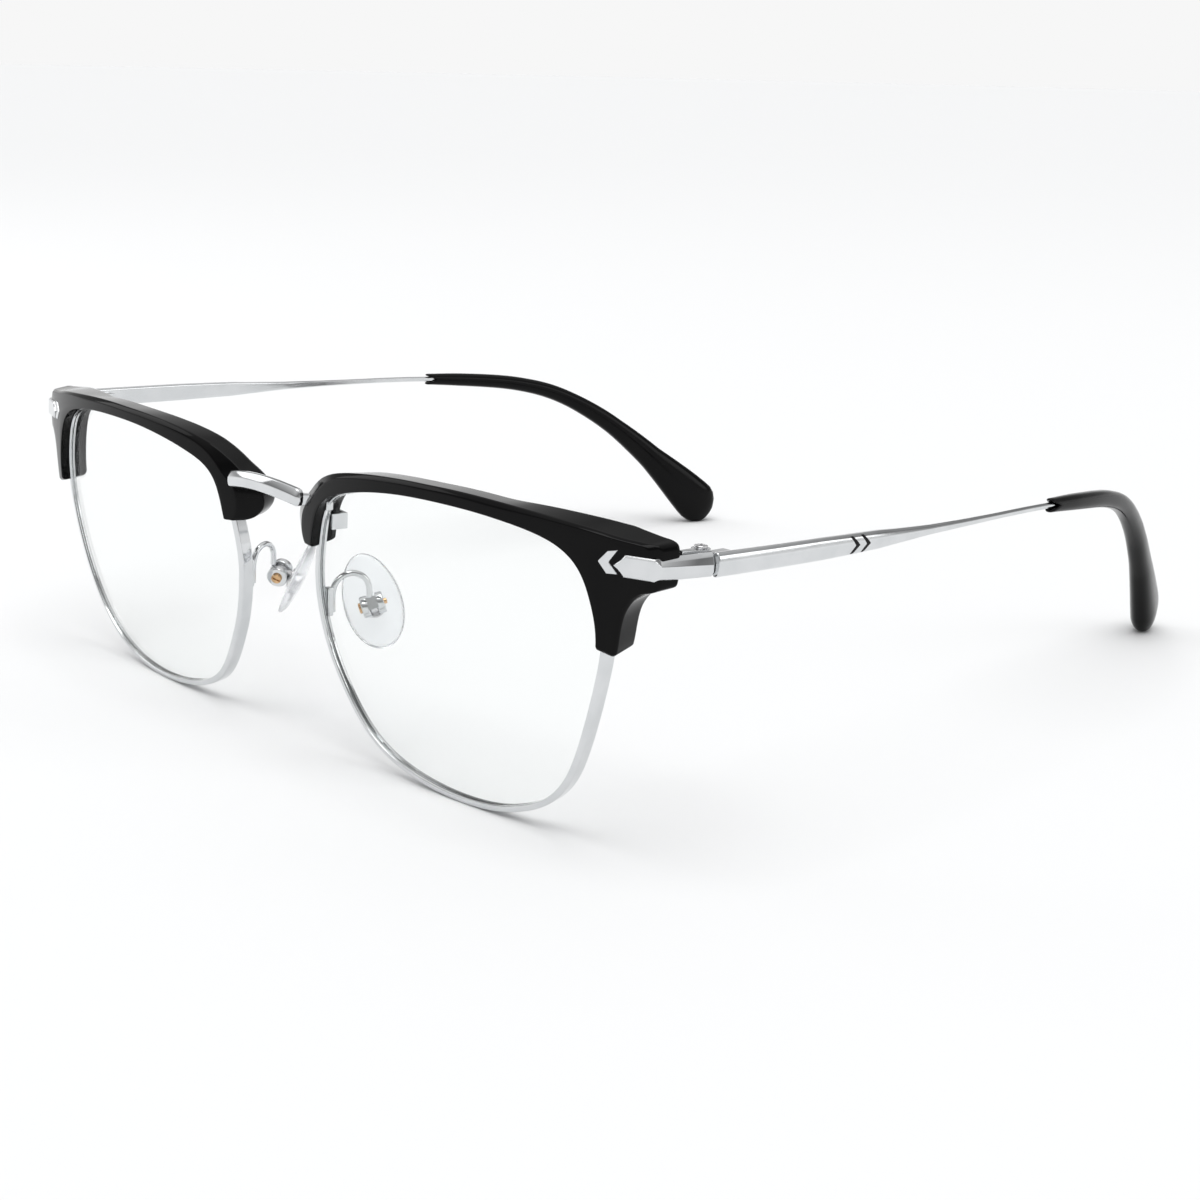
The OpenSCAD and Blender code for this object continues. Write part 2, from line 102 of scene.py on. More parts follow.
def roundCorners(corners, radii, steps=3):
    if not isinstance(radii, (list, tuple)):
        radii = [radii] * len(corners)
    corners = [Vector(c) for c in corners]
    outline = []
    for i, corner in enumerate(corners):
        before, after = corners[i - 1] - corner, corners[(i + 1) % len(corners)] - corner
        reach = min(radii[i], before.length * 0.45, after.length * 0.45)
        start, end = corner + before.normalized() * reach, corner + after.normalized() * reach
        for k in range(steps + 1):
            s = k / steps
            outline.append((1 - s) ** 2 * start + 2 * s * (1 - s) * corner + s * s * end)
    return outline


def gridForm(along, around, place):  # a grid whose points are put in place one by one, its seams welded
    bm = bmesh.new()
    bmesh.ops.create_grid(bm, x_segments=along, y_segments=around, size=1)
    for vert in bm.verts:
        i = round((vert.co.x + 1) / 2 * along)
        k = round((vert.co.y + 1) / 2 * around)
        vert.co = place(i, k)
    bmesh.ops.remove_doubles(bm, verts=bm.verts, dist=0.0004)
    return bm


def closeEnds(bm):
    bmesh.ops.holes_fill(bm, edges=[e for e in bm.edges if e.is_boundary], sides=0)
    return bm


def bevelSharp(bm, width, segments=2, angle=35):
    edges = [e for e in bm.edges if e.is_manifold and e.calc_face_angle(0) > math.radians(angle)]
    bmesh.ops.bevel(bm, geom=edges, offset=width, segments=segments, profile=0.5,
                    affect="EDGES", material=-1, clamp_overlap=True)
    return bm


def prism(outline, depth, bevelWidth, segments=2):  # outline in X and Z, front at Y = 0
    bm = bmesh.new()
    face = bm.faces.new([bm.verts.new((p[0], 0, p[1])) for p in outline])
    grown = bmesh.ops.extrude_face_region(bm, geom=[face])
    moved = [g for g in grown["geom"] if isinstance(g, bmesh.types.BMVert)]
    bmesh.ops.translate(bm, verts=moved, vec=(0, depth, 0))
    bmesh.ops.recalc_face_normals(bm, faces=bm.faces)
    return bevelSharp(bm, bevelWidth, segments)


def roundBar(radius, length, bevelWidth, segments=40):  # along Z from 0
    bm = bmesh.new()
    bmesh.ops.create_cone(bm, cap_ends=True, segments=segments, radius1=radius, radius2=radius,
                          depth=length, matrix=Matrix.Translation((0, 0, length / 2)))
    return bevelSharp(bm, bevelWidth, 3, 60)


def block(low, high, bevelWidth):
    bm = bmesh.new()
    size = [h - l for l, h in zip(low, high)]
    middle = [(h + l) / 2 for l, h in zip(low, high)]
    bmesh.ops.create_cube(bm, size=1, matrix=Matrix.Translation(middle) @ Matrix.Diagonal((*size, 1)))
    return bevelSharp(bm, bevelWidth, 3)


def addForm(bm, other, place=Matrix.Identity(4)):  # moves another form into place inside bm
    bmesh.ops.transform(other, matrix=place, verts=other.verts)
    holder = bpy.data.meshes.new("holder")
    other.to_mesh(holder)
    other.free()
    bm.from_mesh(holder)
    bpy.data.meshes.remove(holder)
    return bm


def tubeForm(path, halfSizes, outline, upright=(0, 0, 1)):
    # outline is in units of the half sizes: across, then up
    count = len(path)

    def place(i, k):
        ahead = (path[min(i + 1, count - 1)] - path[max(i - 1, 0)]).normalized()
        across = ahead.cross(Vector(upright)).normalized()
        up = across.cross(ahead)
        point = outline(i)[k % len(outline(i))]
        return path[i] + across * point[0] * halfSizes[i][0] + up * point[1] * halfSizes[i][1]

    return closeEnds(gridForm(count - 1, len(outline(0)), place))


def circle(count):
    turns = [2 * math.pi * k / count for k in range(count)]
    return [Vector((math.cos(turn), math.sin(turn))) for turn in turns]


def makePiece(name, bm, place, material, body, replaced=(), sharp=40):
    bmesh.ops.transform(bm, matrix=place, verts=bm.verts)
    bmesh.ops.recalc_face_normals(bm, faces=bm.faces)
    for face in bm.faces:
        face.smooth = True
    for edge in bm.edges:
        edge.smooth = not edge.is_manifold or edge.calc_face_angle(0) < math.radians(sharp)
    mesh = bpy.data.meshes.new(name)
    bm.to_mesh(mesh)
    bm.free()
    mesh.materials.append(material)
    piece = bpy.data.objects.new(name, mesh)
    scene.collection.objects.link(piece)
    weighted = piece.modifiers.new("Weighted normals", "WEIGHTED_NORMAL")
    weighted.keep_sharp = True
    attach(piece, body)
    if replaced:
        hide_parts(*replaced)
    return piece


# Materials, all on Object coordinates in metres


def newMaterial(name):
    material = bpy.data.materials.new(name)
    material.use_nodes = True
    nodes, links = material.node_tree.nodes, material.node_tree.links
    return material, nodes, links, nodes["Principled BSDF"]


def noiseNode(nodes, links, scale, stretch=(1, 1, 1), detail=3):
    coords = nodes.new("ShaderNodeTexCoord")
    mapping = nodes.new("ShaderNodeMapping")
    mapping.inputs["Scale"].default_value = stretch
    noise = nodes.new("ShaderNodeTexNoise")
    noise.inputs["Scale"].default_value = scale
    noise.inputs["Detail"].default_value = detail
    links.new(coords.outputs["Object"], mapping.inputs["Vector"])
    links.new(mapping.outputs["Vector"], noise.inputs["Vector"])
    return noise.outputs["Fac"]


def spread(nodes, links, source, low, high):  # turns noise into a value between low and high
    node = nodes.new("ShaderNodeMapRange")
    node.inputs["From Min"].default_value = 0.3
    node.inputs["From Max"].default_value = 0.7
    node.inputs["To Min"].default_value = low
    node.inputs["To Max"].default_value = high
    links.new(source, node.inputs["Value"])
    return node.outputs["Result"]


def tint(nodes, links, source, dark, light):
    node = nodes.new("ShaderNodeValToRGB")
    node.color_ramp.elements[0].position = 0.35
    node.color_ramp.elements[1].position = 0.65
    node.color_ramp.elements[0].color = (*dark, 1)
    node.color_ramp.elements[1].color = (*light, 1)
    links.new(source, node.inputs["Fac"])
    return node.outputs["Color"]


def addBump(nodes, links, shader, source, strength, distance):
    bump = nodes.new("ShaderNodeBump")
    bump.inputs["Strength"].default_value = strength
    bump.inputs["Distance"].default_value = distance
    links.new(source, bump.inputs["Height"])
    links.new(bump.outputs["Normal"], shader.inputs["Normal"])


def metalMaterial(name, dark, light, rough, stretch):
    material, nodes, links, shader = newMaterial(name)
    shader.inputs["Metallic"].default_value = 1
    clouds = noiseNode(nodes, links, 260, (1, 1, 1))
    links.new(tint(nodes, links, clouds, dark, light), shader.inputs["Base Color"])
    grain = noiseNode(nodes, links, 5200, stretch, 4)
    links.new(spread(nodes, links, grain, *rough), shader.inputs["Roughness"])
    addBump(nodes, links, shader, grain, 0.08, 0.000004)
    return material


def acetateMaterial(name, rough):
    material, nodes, links, shader = newMaterial(name)
    shader.inputs["IOR"].default_value = 1.48
    shader.inputs["Specular IOR Level"].default_value = 0.12
    depthTone = noiseNode(nodes, links, 140)
    links.new(tint(nodes, links, depthTone, (0.0016, 0.0016, 0.0018), (0.0028, 0.0027, 0.0028)),
              shader.inputs["Base Color"])
    handling = noiseNode(nodes, links, 420, (1, 1, 1), 5)
    links.new(spread(nodes, links, handling, *rough), shader.inputs["Roughness"])
    polish = noiseNode(nodes, links, 900, (1, 1, 1), 2)
    addBump(nodes, links, shader, polish, 0.05, 0.00001)
    return material


def clearMaterial(name, colour, rough, ior, clarity):
    material, nodes, links, shader = newMaterial(name)
    shader.inputs["Base Color"].default_value = (*colour, 1)
    shader.inputs["Transmission Weight"].default_value = clarity
    shader.inputs["IOR"].default_value = ior
    haze = noiseNode(nodes, links, 300)
    links.new(spread(nodes, links, haze, *rough), shader.inputs["Roughness"])
    letThrough = nodes.new("ShaderNodeBsdfTransparent")  # lamps shine through without a dark shadow
    letThrough.inputs["Color"].default_value = (*colour, 1)
    rays = nodes.new("ShaderNodeLightPath")
    mix = nodes.new("ShaderNodeMixShader")
    links.new(rays.outputs["Is Shadow Ray"], mix.inputs["Fac"])
    links.new(shader.outputs["BSDF"], mix.inputs[1])
    links.new(letThrough.outputs["BSDF"], mix.inputs[2])
    links.new(mix.outputs["Shader"], nodes["Material Output"].inputs["Surface"])
    return material


polishedTitanium = metalMaterial(
    "Polished titanium", (0.65, 0.665, 0.675), (0.7, 0.71, 0.72), (0.06, 0.1), (1, 1, 1))
drawnTitanium = metalMaterial(
    "Drawn titanium", (0.64, 0.655, 0.665), (0.69, 0.7, 0.71), (0.09, 0.14), (1, 0.03, 1))
blackAcetate = acetateMaterial("Black acetate", (0.05, 0.11))
tipAcetate = acetateMaterial("Black tip acetate", (0.1, 0.2))
clearLens = clearMaterial("Clear lens", (0.985, 0.995, 0.99), (0.0, 0.006), 1.12, 1)
clearSilicone = clearMaterial("Clear silicone", (0.95, 0.965, 0.98), (0.08, 0.16), 1.36, 0.84)
brassScrew = metalMaterial("Brass", (0.6, 0.38, 0.2), (0.74, 0.5, 0.28), (0.18, 0.3), (1, 1, 1))
steelScrew = metalMaterial("Bright steel", (0.6, 0.6, 0.61), (0.72, 0.72, 0.73), (0.16, 0.28), (1, 1, 1))
blackEnamel = acetateMaterial("Black enamel", (0.25, 0.4))
print("materials ready")

# Rims and lenses

rim = {
    "thickness": 0.9,
    "depth": 1.8,
    "grooveWidth": 0.7,
    "grooveDepth": 0.4,
    "edgeRadius": 0.24,
    "innerRadius": 0.16,
    "lipRadius": 0.07,
    "floorRadius": 0.05,
    "baseRadius": 110,
    "steps": 14,
    "points": [
        (26.5, 3), (26, 12.6), (21.4, 18.5), (10.5, 20.9), (-4, 21.1), (-16, 19.2), (-22.9, 16),
        (-25.6, 9), (-26.3, 1), (-23.3, -8.6), (-16.1, -17.8), (-4, -21.3), (10, -20.4), (20.2, -13.7),
    ],
}


def sag(u, w, radius=rim["baseRadius"]):
    return radius - math.sqrt(radius * radius - u * u - w * w)


def rimInset(t, inwards):
    ahead = loopPoint(rim["points"], t + 0.01) - loopPoint(rim["points"], t - 0.01)
    return loopPoint(rim["points"], t) + inwards * Vector((-ahead.y, ahead.x)).normalized()


def buildRim(side):
    grooveStart = (rim["depth"] - rim["grooveWidth"]) / 2
    grooveEnd = grooveStart + rim["grooveWidth"]
    grooveFloor = rim["thickness"] - rim["grooveDepth"]
    profile = roundCorners(
        [(0, 0), (0, rim["depth"]), (rim["thickness"], rim["depth"]), (rim["thickness"], grooveEnd),
         (grooveFloor, grooveEnd), (grooveFloor, grooveStart), (rim["thickness"], grooveStart),
         (rim["thickness"], 0)],
        [rim["edgeRadius"]] * 2 + [rim["innerRadius"], rim["lipRadius"]] + [rim["floorRadius"]] * 2
        + [rim["lipRadius"], rim["innerRadius"]], 4)

    def place(i, k):
        inwards, depth = profile[k % len(profile)]
        u, w = rimInset(i / rim["steps"], inwards)
        return Vector((u, sag(u, w) + depth, w))

    bm = gridForm(rim["steps"] * len(rim["points"]), len(profile), place)
    makePiece("rimWire_" + side, bm, sideFrame(side) @ eyeFrame, polishedTitanium, "front",
              ["rim_" + side])


lens = {"thickness": 1.3, "clearance": 0.03, "rows": 9, "edge": 0.05, "bevelStart": 0.36, "bevelTop": 0.52}


def buildLens(side):
    front = (rim["depth"] - lens["thickness"]) / 2
    back = front + lens["thickness"]
    body = rim["thickness"] + lens["clearance"]
    apex = body - rim["grooveDepth"]
    spokes = [k / lens["rows"] for k in range(lens["rows"] + 1)]
    rows = [(s, body + lens["edge"], front) for s in spokes]
    start, top = lens["bevelStart"], lens["bevelTop"]
    rows += [(1, body, front + lens["edge"]), (1, body, front + start), (1, apex, front + top),
             (1, apex, back - top), (1, body, back - start), (1, body, back - lens["edge"])]
    rows += [(s, body + lens["edge"], back) for s in reversed(spokes)]

    def place(i, k):
        share, inwards, depth = rows[k]
        u, w = rimInset(i / rim["steps"], inwards) * share
        return Vector((u, sag(u, w) + depth, w))

    bm = gridForm(rim["steps"] * len(rim["points"]), len(rows) - 1, place)
    makePiece("lensBlank_" + side, bm, sideFrame(side) @ eyeFrame, clearLens, "front",
              ["lens_" + side], 30)


# Brows

brow = {
    "frontWall": 1.4,
    "backWall": 0.8,
    "rearRadius": 87,
    "rearLimit": 6.75,
    "cover": 0.6,
    "channelGap": 0.03,
    "endRound": 0.8,
    "steps": 6,
    # place on the rim, outer edge (u, w), front chamfer (inwards, back), outward lean and drop with depth
    "stations": [
        (0.25, 28.8, 5.35, 0.35, 0.35, -0.15, 0), (0.4, 29.1, 6.6, 0.35, 0.35, -0.15, 0),
        (0.68, 29.5, 9.3, 0.35, 0.35, -0.14, 0), (0.9, 29.95, 11.1, 0.4, 0.4, -0.1, 0),
        (1.06, 30.8, 12.6, 0.45, 0.45, -0.02, 0), (1.18, 31.9, 13.5, 0.5, 0.5, 0.12, 0),
        (1.28, 32.95, 13.9, 0.7, 0.7, 0.3, 0), (1.36, 33.4, 14.6, 0.85, 0.85, 0.39, 0),
        (1.48, 33.45, 16.8, 0.85, 0.85, 0.39, 0), (1.6, 33.4, 18.7, 0.85, 0.85, 0.39, 0.02),
        (1.7, 32.9, 19.45, 0.7, 0.65, 0.3, 0.05), (1.84, 31.4, 19.7, 0.6, 0.5, 0.08, 0.09),
        (2.04, 28.4, 20.1, 0.55, 0.45, 0, 0.13), (2.3, 24, 20.85, 0.55, 0.45, 0, 0.17),
        (2.65, 17.8, 21.6, 0.55, 0.45, 0, 0.2), (3.0, 10.6, 22.25, 0.55, 0.45, 0, 0.22),
        (3.35, 4.6, 22.5, 0.55, 0.45, 0, 0.23), (3.7, -0.8, 22.45, 0.55, 0.45, 0, 0.23),
        (4.0, -5.3, 22.3, 0.55, 0.45, 0, 0.24), (4.35, -10.4, 21.9, 0.6, 0.45, 0, 0.25),
        (4.7, -15.3, 21.25, 0.7, 0.5, 0, 0.28), (5.05, -19.5, 20.4, 0.9, 0.55, 0, 0.36),
        (5.35, -22.6, 19.3, 1.3, 0.7, 0, 0.5), (5.6, -25, 17.9, 1.9, 1, 0, 0.66),
        (5.85, -27.1, 16.3, 2.6, 1.3, 0, 0.8), (6.05, -29, 14.9, 3.1, 1.5, 0, 0.86),
        (6.25, -30.35, 13.65, 3.4, 1.6, 0, 0.8), (6.45, -30.85, 12.3, 3.4, 1.6, 0, 0.7),
        (6.65, -30.5, 11, 3, 1.5, 0, 0.6), (6.82, -29.3, 9.9, 2.2, 1.2, 0, 0.45),
        (6.95, -27.6, 9.35, 1.1, 0.8, 0, 0.2),
    ],
}


def browFront(u, w):
    return sag(u, w) - brow["frontWall"]


def browRear(u, w):
    sphere = rim["depth"] + brow["backWall"] + sag(u, w, brow["rearRadius"])
    row = eyeFrame[1]
    wall = (brow["rearLimit"] - row[3] - row[0] * u - row[2] * w) / row[1]
    return min(sphere, wall)


def browSection(t, shrink):
    station = pathPoint(brow["stations"], t)
    rimPlace, outer = station[0], Vector((station[1], station[2]))
    cutIn, cutBack, flare, drop = station[3:]
    inner = rimInset(rimPlace, brow["cover"])
    inwards = (inner - outer).normalized()
    width = (inner - outer).length
    deepOuter = browRear(*outer) - browFront(*outer)
    deepInner = browRear(*inner) - browFront(*inner)
    wallFront = brow["frontWall"] - brow["channelGap"]
    wallBack = brow["frontWall"] + rim["depth"] + brow["channelGap"]
    floor = width - brow["cover"] - brow["channelGap"]
    frontStart = cutIn + 0.3 * shrink
    corners = [(shrink, cutBack + shrink * 0.4), (frontStart, shrink)]
    corners += [(frontStart + (width - frontStart) * s, shrink) for s in (0.25, 0.5, 0.75)]
    corners += [(width, shrink), (width, wallFront), (floor, wallFront), (floor, wallBack), (width, wallBack),
                (width, deepInner - shrink)]
    corners += [(0.6 + (width - 0.6) * s, deepOuter + (deepInner - deepOuter) * s - shrink)
                for s in (0.75, 0.5, 0.25, 0)]
    corners += [(shrink, deepOuter - 0.6 - shrink * 0.4)]
    radii = [0.2, 0.2, 0.05, 0.05, 0.05, 0.16, 0.06, 0.05, 0.05, 0.06, 0.2, 0.05, 0.05, 0.05, 0.3, 0.3]
    section = []
    for inset, depth in roundCorners(corners, radii, 3):
        point = outer + inwards * inset
        front = browFront(*point)
        share = 1 - inset / width
        point += inwards * drop * max(0, depth - cutBack) * share
        section.append(Vector((point.x + flare * depth * share, front + depth, point.y)))
    return section


def buildBrow(side):
    last = len(brow["stations"]) - 1
    rounding = brow["endRound"]
    ends = [(rounding * (1 - math.sin(a)), rounding * (1 - math.cos(a)))
            for a in (math.radians(d) for d in (90, 68, 45, 22, 0))]
    marks = [(along / 1.2, shrink) for along, shrink in ends]
    marks += [(k / brow["steps"], 0) for k in range(3, last * brow["steps"] - 1)]
    marks += [(last - along / 1.8, shrink) for along, shrink in reversed(ends)]
    sections = [browSection(t, shrink) for t, shrink in marks]
    count = len(sections[0])
    bm = closeEnds(gridForm(len(sections) - 1, count, lambda i, k: sections[i][k % count]))
    makePiece("browShell_" + side, bm, sideFrame(side) @ eyeFrame, blackAcetate, "front",
              ["brow_" + side], 60)


chevron = {
    "outline": [(26.4, 17.15), (27.6, 18.5), (28.9, 18.7), (27.8, 17.15), (29, 15.8), (27.6, 15.75)],
    "proud": 0.1,
    "depth": 0.7,
    "bevel": 0.12,
}


def buildChevron(side):
    bm = prism(chevron["outline"], chevron["depth"], chevron["bevel"])
    for vert in bm.verts:
        vert.co.y += browFront(vert.co.x, vert.co.z) - chevron["proud"]
    makePiece("chevronInlay_" + side, bm, sideFrame(side) @ eyeFrame, polishedTitanium, "front",
              ["chevron_inlay_" + side], 25)


for side in sides:
    buildRim(side)
    buildLens(side)
    buildBrow(side)
    buildChevron(side)
print("rims, lenses and brows ready")

# Bridge

bridge = {
    "half": 8.4, "height": 2.4, "thickness": 1.5, "rise": 0.9, "bow": 0.9, "front": -4.65, "middle": -0.5,
    "endRound": 0.85, "steps": 44, "edgeRadius": 0.14,
    "foot": [(6.9, -3), (8.3, -2.7), (8.8, -1.9), (12.9, -2.2), (12.9, -0.7), (8.2, -0.7), (6.9, -2)],
    "footLow": -2.3, "footHeight": 1.5, "footBevel": 0.15,
}


def buildBridge():
    half, height, thickness = bridge["half"], bridge["height"], bridge["thickness"]
    profile = roundCorners(
        [(0.12, -height / 2 + 0.3), (0, -0.2), (0.02, 0.3), (0.5, height / 2), (1.2, height / 2),
         (thickness, height / 2 - 0.35), (thickness, -height / 2 + 0.3), (1.2, -height / 2),
         (0.45, -height / 2)],
        bridge["edgeRadius"], 3)
    middle = Vector((thickness / 2, 0))

    def place(i, k):
        share = i / bridge["steps"]
        x = -half * math.cos(math.pi * share)
        toEnd = max(0, 1 - (half - abs(x)) / bridge["endRound"])
        size = max(0.3, math.sqrt(max(0, 1 - toEnd**2.4)))
        point = middle + (profile[k % len(profile)] - middle) * size
        sweep = (x / half) ** 2
        return Vector((x, bridge["front"] + point.x + bridge["bow"] * sweep,
                       bridge["middle"] + point.y - bridge["rise"] * sweep))

    bm = closeEnds(gridForm(bridge["steps"], len(profile), place))
    for mirror in (1, -1):
        foot = prism([(x, y) for x, y in bridge["foot"]], bridge["footHeight"], bridge["footBevel"])
        upright = Matrix(((mirror, 0, 0, 0), (0, 0, 1, 0), (0, 1, 0, bridge["footLow"]), (0, 0, 0, 1)))
        addForm(bm, foot, upright)
    makePiece("bridgeBar", bm, standFrame, polishedTitanium, "front", ["bridge"], 30)


buildBridge()

# Endpieces

endpiece = {
    "tip": (63.75, 1.05), "corner": (68.7, 2.85), "end": (71.45, 10.2), "thickness": 1.25,
    "middle": 0.05, "slope": 1.05,
    "top": [(0, 1.4), (5.3, 1.42), (13.1, 1.98)], "bottom": [(0, -1.33), (5.3, -1.33), (13.1, -1.0)],
}


def buildEndpiece(side):
    tip, corner, end = (Vector(endpiece[k]) for k in ("tip", "corner", "end"))
    frontLength, sideLength = (corner - tip).length, (end - corner).length
    ahead = [(corner - tip).normalized(), (end - corner).normalized()]
    stops = [0, 0.06, 0.2, 0.5, 0.9, 1.25, 1.4, 1.55, 2, 3, 4.2, frontLength - 0.45, frontLength - 0.2]
    stops += [frontLength, frontLength + 0.2, frontLength + 0.5, frontLength + 0.9, frontLength + 1.8]
    stops += [frontLength + 4, frontLength + 6, frontLength + sideLength - 0.12, frontLength + sideLength]

    def section(i):
        s = stops[i]
        turn = min(1, max(0, 0.5 + (s - frontLength) / 0.6))
        onFront = s < frontLength
        point = tip + ahead[0] * s if onFront else corner + ahead[1] * (s - frontLength)
        out0, out1 = Vector((ahead[0].y, -ahead[0].x)), Vector((ahead[1].y, -ahead[1].x))
        outwards = (out0 * (1 - turn) + out1 * turn).normalized()
        reach = 1 / max(0.75, outwards.dot(out0 if onFront else out1))
        widen = s * endpiece["slope"] + 0.02
        top = min(widen, ramp(s, endpiece["top"]))
        low = max(-widen, ramp(s, endpiece["bottom"]))
        cut = min(0.28, widen * 0.45)
        side0 = [(1.25, low), (cut * 0.8, low), (cut * 0.3, low + cut * 0.6), (0, low + cut), (0, top - cut),
                 (cut * 0.3, top - cut * 0.6), (cut * 0.8, top), (1.25, top)]
        side1 = [(1.25, low), (0.5, low), (0.22, low + 0.3), (0.0, -0.45), (0.0, 0.5), (0.3, top - 0.55),
                 (0.62, top), (1.25, top)]
        bar = min(1, max(0, (s - frontLength - 0.1) / 0.8))
        corners = [Vector(a) * (1 - bar) + Vector(b) * bar for a, b in zip(side0, side1)]
        atEnd = s > frontLength + sideLength - 0.01
        ring = []
        for inset, z in roundCorners(corners, [0.1] + [0.06] * 6 + [0.1], 2):
            if atEnd:
                inset, z = 0.1 + inset * 0.84, 0.5 + (z - 0.5) * 0.93
            place = point - outwards * inset * reach
            ring.append(Vector((place.x, place.y, endpiece["middle"] + z)))
        return ring

    rings = [section(i) for i in range(len(stops))]
    count = len(rings[0])
    bm = closeEnds(gridForm(len(rings) - 1, count, lambda i, k: rings[i][k % count]))
    makePiece("endpiecePlaque_" + side, bm, sideFrame(side), polishedTitanium, "front",
              ["endpiece_" + side], 18)


# Temples

temple = {
    "line": [
        (71.5, 10.35, 0.52), (72.15, 25, 0.46), (72.25, 41, 0.42), (71.6, 60, 0.42), (70.4, 80, 0.35),
        (68.8, 95, -0.3), (66.8, 106, -1.4), (64.6, 115, -3.7), (61.7, 124.2, -8.3), (58.9, 132.4, -14.2),
        (56, 140.4, -21.3), (52.7, 149.3, -30.3),
    ],
    "steps": 10,
    "halfHeight": [(10, 1.5), (30, 1.42), (38, 1.28), (41, 1.22), (45, 1), (52, 0.7), (60, 0.55), (69, 0.45)],
    "halfThickness": [(10, 0.62), (41, 0.6), (69, 0.45)],
    "roundFrom": 41, "roundTo": 66, "wireEnd": 141,
    # cross-section of the bar in units of its half thickness (outwards) and half height (up)
    "section": [
        (-1, -0.8), (-0.7, -1), (0.1, -1), (0.62, -0.82), (1, -0.1), (0.98, 0.3), (0.66, 0.72), (0.15, 1),
        (-0.7, 1), (-1, 0.8),
    ],
}
templePath = [pathPoint(temple["line"], k / temple["steps"])
              for k in range((len(temple["line"]) - 1) * temple["steps"] + 1)]


def barOutline(y):  # faceted at the front, round where the bar has become a wire
    outline = roundCorners(temple["section"], 0.14, 3)
    share = min(1, max(0, (y - temple["roundFrom"]) / (temple["roundTo"] - temple["roundFrom"])))
    share = share * share * (3 - 2 * share)
    return [p * (1 - share) + p.normalized() * share for p in outline]


def buildTemple(side):
    front = templePath[0]
    path = [front, front + Vector((0.003, 0.1, 0))] + [p for p in templePath[1:] if p.y < temple["wireEnd"]]
    sizes = [[ramp(p.y, temple["halfThickness"]), ramp(p.y, temple["halfHeight"])] for p in path]
    sizes[0] = [sizes[0][0] - 0.1, sizes[0][1] - 0.1]
    outlines = [barOutline(p.y) for p in path]
    bm = tubeForm(path, sizes, lambda i: outlines[i])
    makePiece("templeBar_" + side, bm, sideFrame(side), drawnTitanium, "temple_" + side,
              ["temple_" + side], 14)


engraving = {
    "apexes": (36.2, 38.4), "middle": 0.36, "up": 1.2, "down": 1.08, "width": 0.8, "narrowing": 0.35,
    "lean": 1.05, "steps": 6, "proud": 0.03, "depth": 0.2,
}


def outerFace(y, z):  # outer surface of the bar: how far out it is at a height z above its middle line
    middle = next(p for p in templePath if p.y >= y)
    up = (z - middle.z) / ramp(y, temple["halfHeight"])
    right = [(p[1], p[0]) for p in temple["section"][2:8]]
    return middle.x + ramp(up, right) * ramp(y, temple["halfThickness"])


def buildEngraving(side):
    bm = bmesh.new()
    for apex in engraving["apexes"]:
        for arm in (1, -1):

            def place(i, k):
                share = i / engraving["steps"]
                along = engraving["up" if arm > 0 else "down"] * share
                taper = engraving["width"] * (1 - engraving["narrowing"] * share)
                y = apex - along * engraving["lean"] - (taper if k in (1, 2) else 0)
                z = engraving["middle"] + arm * along
                lift = engraving["proud"] if k in (0, 1, 4) else -engraving["depth"]
                return Vector((outerFace(y, z) + lift, y, z))

            addForm(bm, closeEnds(gridForm(engraving["steps"], 4, place)))
    makePiece("templeEnamel_" + side, bm, sideFrame(side), blackEnamel, "temple_" + side,
              (), 30)


tip = {
    "start": 84.3, "mouth": 2.1, "closeOver": 5.4,
    "halfHeight": [
        (84, 1.02), (92, 1.22), (108, 1.38), (118, 1.55), (128, 1.9), (136, 2.5), (143, 3.6), (150, 4.3),
    ],
    "halfThickness": [(84, 0.9), (92, 1.22), (108, 1.38), (122, 1.5), (134, 1.7), (143, 2.1), (150, 2.4)],
    # the rear edge of the paddle swells more than the front one
    "rearSwell": [(128, 1), (136, 1.06), (143, 1.22), (147, 1.32), (150, 1.3)],
    # rings at the mouth: how far in from the edge, and the share of the full size
    "mouthRings": [(1.2, 0.5), (0.55, 0.56), (0.12, 0.7), (0, 0.84), (0.12, 0.95), (0.4, 1), (1.0, 1.0)],
    "endRings": (0.6, 0.35, 0.18, 0.07, 0.02),
    "sides": 32, "squareness": 0.85,
}


def buildTip(side):
    end = templePath[-1]
    path = [p for p in templePath if p.y > tip["start"] + 3.2]
    power, mouthRings = tip["squareness"], tip["mouthRings"]
    squircle = [Vector((math.copysign(abs(p.x) ** power, p.x), math.copysign(abs(p.y) ** power, p.y)))
                for p in circle(tip["sides"])]

    def onPath(y):
        for a, b in zip(templePath, templePath[1:]):
            if b.y >= y:
                return a.lerp(b, (y - a.y) / (b.y - a.y))

    path[-1:-1] = [end.lerp(path[-2], share) for share in tip["endRings"]]
    tail = []
    for p in path:
        left = min(1, (end - p).length / tip["closeOver"])
        tail.append((p, max(0.02, math.sqrt(1 - (1 - left) ** 2))))

    def place(i, k):
        direction = squircle[k % tip["sides"]]
        if i < len(mouthRings):
            into, size = mouthRings[i]
            y = tip["start"] + tip["mouth"] * (1 - abs(direction.y)) ** 1.2 + into
            middle = onPath(y)
        else:
            middle, size = tail[i - len(mouthRings)]
            y = middle.y
        ahead = (onPath(min(y + 1.5, end.y - 0.1)) - onPath(min(y, end.y - 1.6))).normalized()
        across = ahead.cross(Vector((0, 0, 1))).normalized()
        up = across.cross(ahead)
        swell = ramp(y, tip["rearSwell"]) if direction.y > 0 else 1
        return (middle + across * direction.x * size * ramp(y, tip["halfThickness"])
                + up * direction.y * size * swell * ramp(y, tip["halfHeight"]))

    bm = closeEnds(gridForm(len(mouthRings) + len(tail) - 1, tip["sides"], place))
    makePiece("templeSleeve_" + side, bm, sideFrame(side), tipAcetate, "temple_" + side,
              ["temple_tip_" + side], 60)


